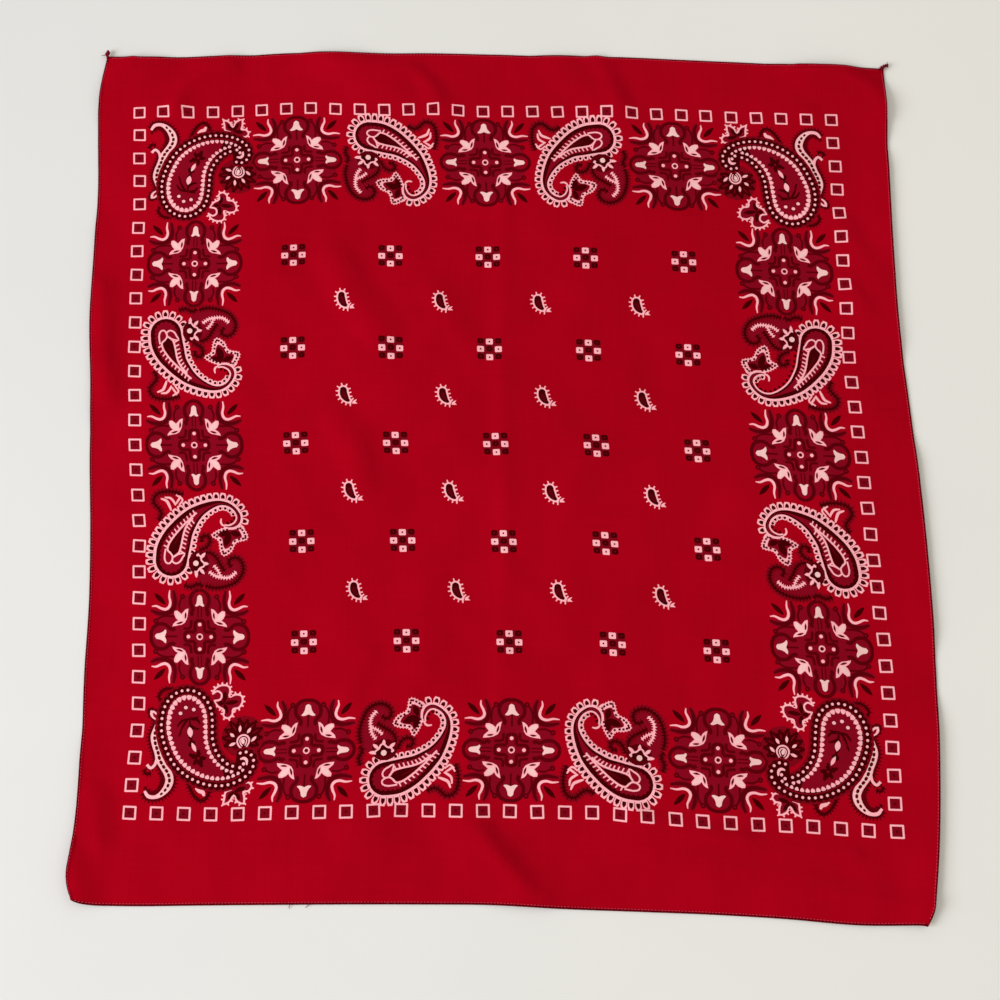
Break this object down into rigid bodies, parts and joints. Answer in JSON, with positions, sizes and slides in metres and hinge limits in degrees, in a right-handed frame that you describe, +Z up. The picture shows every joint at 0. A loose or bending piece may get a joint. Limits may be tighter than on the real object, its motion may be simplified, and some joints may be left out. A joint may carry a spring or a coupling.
{
  "type": "bandana",
  "caption": "Square cotton bandana laid flat, slightly rippled at its margins, with narrow stitched hems and a bandana-style paisley and medallion print.",
  "frame": {"origin": "middle of the cloth's bounding box, on the surface that the cloth lies on", "axes": "+Z up out of the shown face, +Y towards the top edge as shown, +X towards the right edge as shown"},
  "size_m": [0.57, 0.5992, 0.0051],
  "materials": {
    "printed_cotton": "matte plain-weave red cotton with white and dark maroon print",
    "hem_cotton": "the same cotton turned over twice, a little darker",
    "hem_thread": "red sewing thread"
  },
  "bodies": {
    "root": {"cloth_panel": "printed_cotton", "hem_left": "hem_cotton", "hem_right": "hem_cotton", "hem_bottom": "hem_cotton", "hem_top": "hem_cotton"}
  },
  "joints": []
}
